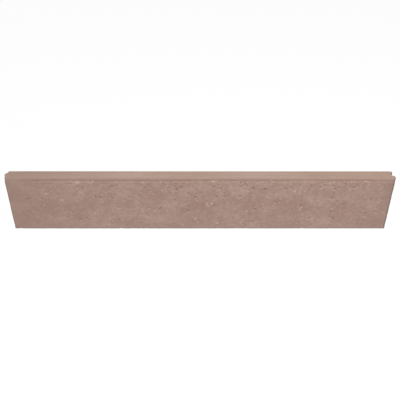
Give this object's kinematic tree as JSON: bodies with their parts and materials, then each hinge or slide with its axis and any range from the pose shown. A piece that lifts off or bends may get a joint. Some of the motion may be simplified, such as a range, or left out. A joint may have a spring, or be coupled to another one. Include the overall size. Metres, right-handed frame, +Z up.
{
  "type": "concrete edging block",
  "caption": "Long thin precast concrete edging block, laid on edge along lawns and paths, with a rounded tongue on one end and a groove on the other.",
  "frame": {"origin": "on the base, halfway along the laying length and midway through the thickness", "axes": "+Z up as laid; +X from the tongue end to the groove end; -Y out of the front face, which the picture shows; +Y out of the back face"},
  "size_m": [0.919, 0.038, 0.14],
  "materials": {
    "core_mix": "open-textured cast concrete, red-brown, matt",
    "facing_mix": "fine close-textured cast concrete, pale red-brown, matt"
  },
  "bodies": {
    "root": {"core_body": "core_mix", "facing_layer": "facing_mix"}
  },
  "joints": []
}
